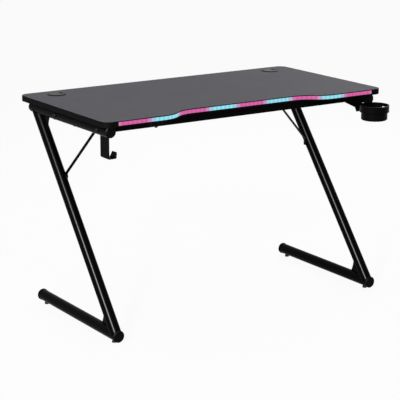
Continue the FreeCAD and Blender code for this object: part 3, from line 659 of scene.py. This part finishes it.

# %% [markdown]
# The record names a finish slot for every CAD piece, so one table from slot to material dresses
# the whole desk. The grommet lids share a slot with the caps and have a finer texture, and they
# get a lighter grey: painted sheen, for the light their flat tops reflect. The nuts above the feet
# share a slot with the screws, but no bright metal shows there, so they are black.

# %% Dress the CAD pieces
dress = {
    "board": worktop,
    "frame_paint": coat,
    "black_plastic": moulded,
    "cup_plastic": cup_skin,
    "light_channel": moulded,
    "light_strip": strip_white,
    "light_chip": chip_white,
    "diffuser": lit,
    "zinc": zinc,
    "black_bolt": blackened,
    "insert_brass": brass,
    "foot_pad": rubber,
    "circuit": solder_mask,
    "button": polished,
}
for piece in frame["record"]["subparts"]:
    mesh = nodes[piece["node"]].data
    mesh.materials.clear()
    mesh.materials.append(dress[piece["material_slot"]])
# The grommet lids get the lighter grey of painted sheen.
for side in ("left", "right"):
    nodes[f"{side}_grommet_cap"].data.materials[0] = lid_painted_sheen
nodes["leveller_nuts"].data.materials[0] = blackened

# %% [markdown]
# The studio is a pale floor and an even white surround. The camera sees floor and surround as
# white, while the light that reaches the desk stays at a plain level. A share of the floor's own
# shading is kept, so that the desk still has a faint shadow to stand on.

# %% Floor and surround
floor_size = 40.0
shadow_share = 0.08
room_light = 0.37


def seen_share(tree, share):
    """A factor for rays that show the background: seen straight, mirrored or through glass."""
    path = add(tree, "ShaderNodeLightPath")
    rays = {0: path.outputs["Is Camera Ray"], 1: path.outputs["Is Glossy Ray"]}
    seen = add(tree, "ShaderNodeMath", {"operation": "MAXIMUM"}, rays)
    rays = {0: seen.outputs[0], 1: path.outputs["Is Transmission Ray"]}
    seen = add(tree, "ShaderNodeMath", {"operation": "MAXIMUM"}, rays)
    scaled = add(tree, "ShaderNodeMath", {"operation": "MULTIPLY"}, {0: seen.outputs[0], 1: share})
    return scaled.outputs[0]


bpy.ops.mesh.primitive_plane_add(size=floor_size, location=(0, 0, cad_low.z))
floor = bpy.context.object
floor.name = "studio_floor"
floor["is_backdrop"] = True
pale_floor = finish(
    "studio floor, pale", "#f2f2f2", "#f6f6f6",
    rough=0.9, lump=3 * mm, depth=0.001 * mm)
tree, shader = opened(pale_floor)
white = add(tree, "ShaderNodeEmission", None, {"Color": colour("#ffffff"), "Strength": 1.0})
mixed = add(tree, "ShaderNodeMixShader", None, {0: seen_share(tree, 1 - shadow_share)})
tree.links.new(shader.outputs[0], mixed.inputs[1])
tree.links.new(white.outputs[0], mixed.inputs[2])
tree.links.new(mixed.outputs[0], tree.nodes["Material Output"].inputs["Surface"])
floor.data.materials.append(pale_floor)

world = bpy.data.worlds.new("studio surround")
scene.world = world
world.use_nodes = True
tree = world.node_tree
tree.nodes.clear()
dim = add(tree, "ShaderNodeBackground", None, {"Color": colour("#ffffff"), "Strength": room_light})
bright = add(tree, "ShaderNodeBackground", None, {"Color": colour("#ffffff"), "Strength": 1.0})
mixed = add(tree, "ShaderNodeMixShader", None, {0: seen_share(tree, 1.0)})
tree.links.new(dim.outputs[0], mixed.inputs[1])
tree.links.new(bright.outputs[0], mixed.inputs[2])
add(tree, "ShaderNodeOutputWorld", None, {"Surface": mixed.outputs[0]})
print("floor", floor_size, "m wide, shadow share", shadow_share)

# %% [markdown]
# A key lamp stands to the left of the camera and a wide weak lamp at the back right, which lifts
# that end of the worktop. A third lamp is a long strip, tilted like the legs. It is hidden from
# matt surfaces and throws no shadow, so it only draws the thin bright line that runs down each
# round leg.

# %% Lamps
desk_middle = (cad_low + cad_high) / 2
leg_way = Vector((0, 0.62, 0.79))


def lamp(name, place, wide, long, power, lie=Vector((0, 0, 1))):
    """A lamp that faces the desk, its long side lying along a given direction."""
    bpy.ops.object.light_add(type="AREA", location=place)
    light = bpy.context.object
    light.name = name
    light.data.shape = "RECTANGLE"
    light.data.size = wide
    light.data.size_y = long
    light.data.energy = power
    back = (Vector(place) - desk_middle).normalized()
    side = lie.cross(back).normalized()
    light.rotation_euler = Matrix((side, back.cross(side), back)).transposed().to_euler()
    return light


lamp("key_lamp", (-3.6, -2.3, 2.6), wide=0.5, long=0.5, power=82)
lamp("side_lamp", (2.4, 1.4, 2.2), wide=1.8, long=1.8, power=25)
line_lamp = lamp(
    "line_lamp", (-5.4, -2.55, 4.35), wide=0.45, long=1.5, power=5200, lie=leg_way)
line_lamp.visible_diffuse = False
line_lamp.data.use_shadow = False

# %% [markdown]
# The camera stands well back with a long lens, as product pictures are taken, so the desk's edges
# stay nearly parallel. Its place and lens come from fitting the outline of the desk to the
# picture. They are written from the floor under the middle of the worktop, and the small shift
# sets the desk in the frame.

# %% Camera
camera_off = Vector((-2.7663, -4.1918, 1.6401))
aim_off = Vector((0.0101, 0, 0.4025))
picture_side = 400
axis_right_px = 5.2
axis_up_px = 15.6
sensor_wide = 36
lens_long = 130.75
sees_to = 100
board_middle = Vector(((board_low.x + board_high.x) / 2, (board_low.y + board_high.y) / 2, 0))
camera_data = bpy.data.cameras.new("picture_camera")
camera = bpy.data.objects.new("picture_camera", camera_data)
scene.collection.objects.link(camera)
camera.location = board_middle + camera_off
camera.rotation_euler = (aim_off - camera_off).to_track_quat("-Z", "Y").to_euler()
camera_data.sensor_width = sensor_wide
camera_data.lens = lens_long
camera_data.shift_x = -axis_right_px / picture_side
camera_data.shift_y = -axis_up_px / picture_side
camera_data.clip_end = sees_to
scene.camera = camera
print("camera", round((aim_off - camera_off).length, 3), "m from the desk")

# %% [markdown]
# The box of the dressed desk is set beside the CAD box, to show that nothing here changed its
# size.

# %% Sizes and finish
low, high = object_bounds()
print("size change", [round(a - b, 5) for a, b in zip(high - low, cad_high - cad_low)])
